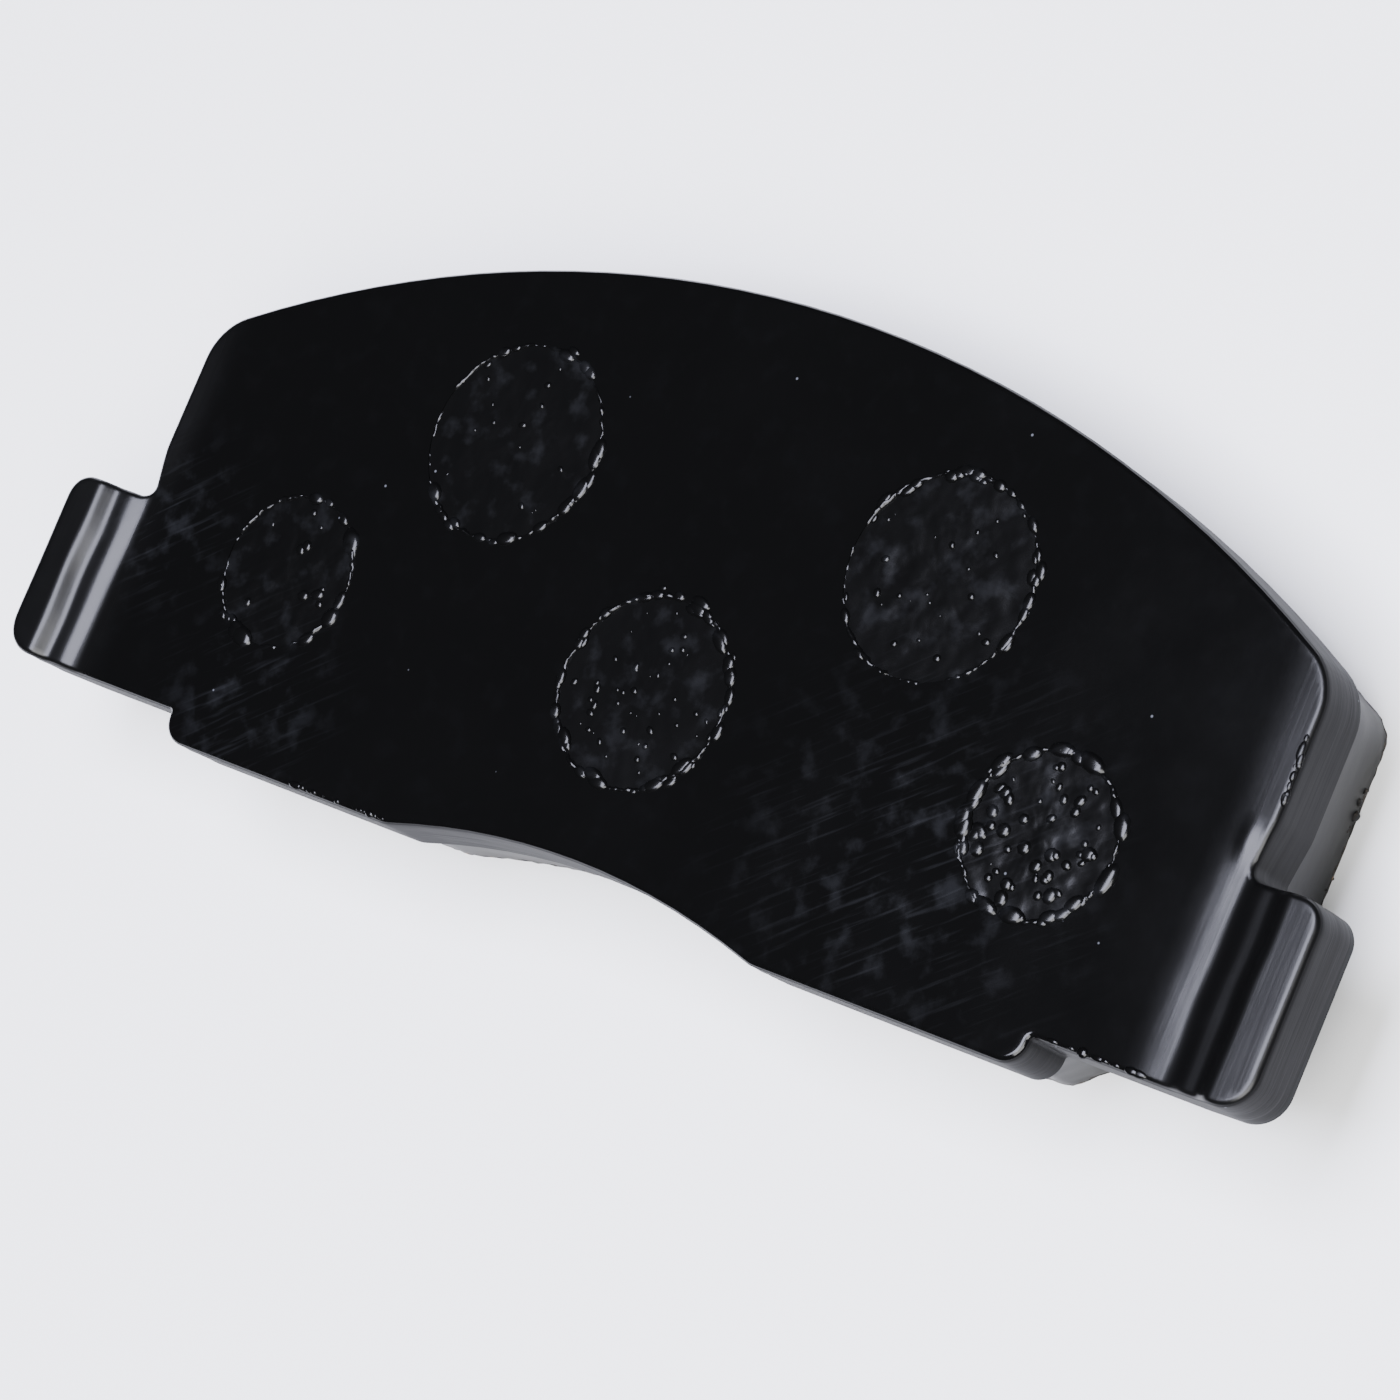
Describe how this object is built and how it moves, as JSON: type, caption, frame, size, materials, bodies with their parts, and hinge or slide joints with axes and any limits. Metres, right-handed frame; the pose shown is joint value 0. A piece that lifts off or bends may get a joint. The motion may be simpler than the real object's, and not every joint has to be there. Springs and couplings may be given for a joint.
{
  "type": "disc brake pad",
  "caption": "Disc brake pad: curved steel backing plate with formed end ears and moulded friction block keyed through round holes.",
  "frame": {"origin": "middle of the pad's box, on the friction face", "axes": "+X along the pad's length, +Y to its crown, away from the hub, +Z out of the back of the plate towards the piston"},
  "size_m": [0.106, 0.042, 0.0143],
  "materials": {
    "black_paint": "satin black paint",
    "adhesive": "cured adhesive film",
    "underlayer_compound": "moulded compound, painted over where it fills the holes",
    "friction_compound": "ground, granular, matte"
  },
  "bodies": {
    "root": {"backing_plate": "black_paint", "bonding_film": "adhesive", "underlayer": "underlayer_compound", "friction_block": "friction_compound"}
  },
  "joints": []
}
